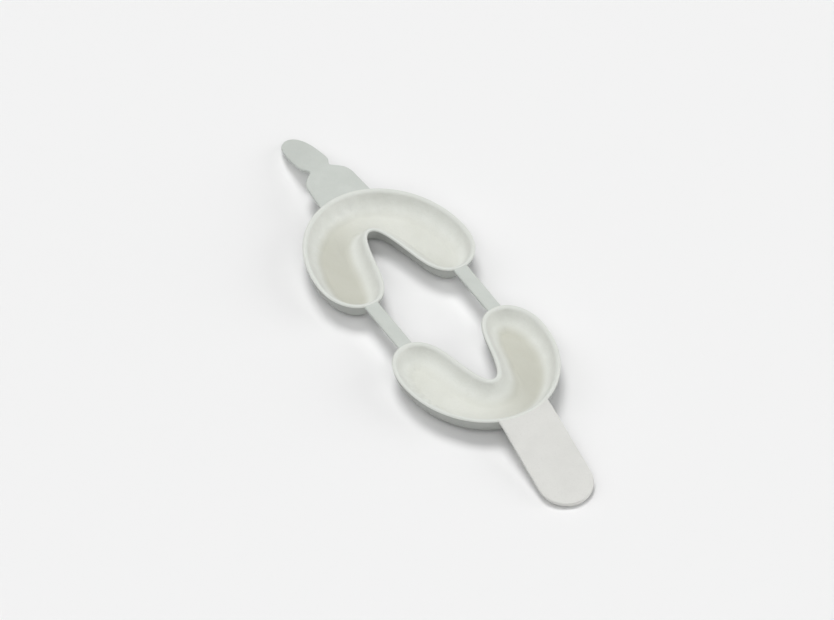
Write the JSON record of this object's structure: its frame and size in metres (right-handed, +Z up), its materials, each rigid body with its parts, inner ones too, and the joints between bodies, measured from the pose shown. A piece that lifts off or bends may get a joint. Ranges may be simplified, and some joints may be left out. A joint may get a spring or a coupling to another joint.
{
  "type": "dual-arch fluoride tray",
  "caption": "Disposable foam dental tray: upper and lower horseshoe troughs joined by two fold-over straps, with a paddle handle and a keyed handle.",
  "frame": {"origin": "under the middle of the flat object, on the surface the troughs rest on", "axes": "+Y from the paddle tray to the keyed tray, +Z up out of the troughs, +X across, to the right when looking along +Y"},
  "size_m": [0.058, 0.1976, 0.0095],
  "materials": {
    "shell_foam": "matt closed-cell foam, pressed thin",
    "lining_foam": "soft open-cell absorbent foam",
    "sheet_foam": "matt closed-cell foam sheet"
  },
  "bodies": {
    "keyed_tray": {"keyed_tray_shell": "shell_foam", "keyed_tray_lining": "lining_foam", "keyed_handle": "sheet_foam"},
    "straps": {"left_strap": "sheet_foam", "right_strap": "sheet_foam"},
    "paddle_tray": {"paddle_tray_shell": "shell_foam", "paddle_tray_lining": "lining_foam", "paddle_handle": "sheet_foam"}
  },
  "joints": [
    {"name": "keyed_end_fold", "type": "hinge", "parent": "keyed_tray", "child": "straps", "pos_m": [0, 0.01024, 0.0079], "axis": [1, 0, 0], "range_deg": [0, 90], "stiffness_Nm_per_rad": 0.004},
    {"name": "paddle_end_fold", "type": "hinge", "parent": "straps", "child": "paddle_tray", "pos_m": [0, -0.01136, 0.0079], "axis": [1, 0, 0], "range_deg": [0, 90], "stiffness_Nm_per_rad": 0.004}
  ]
}
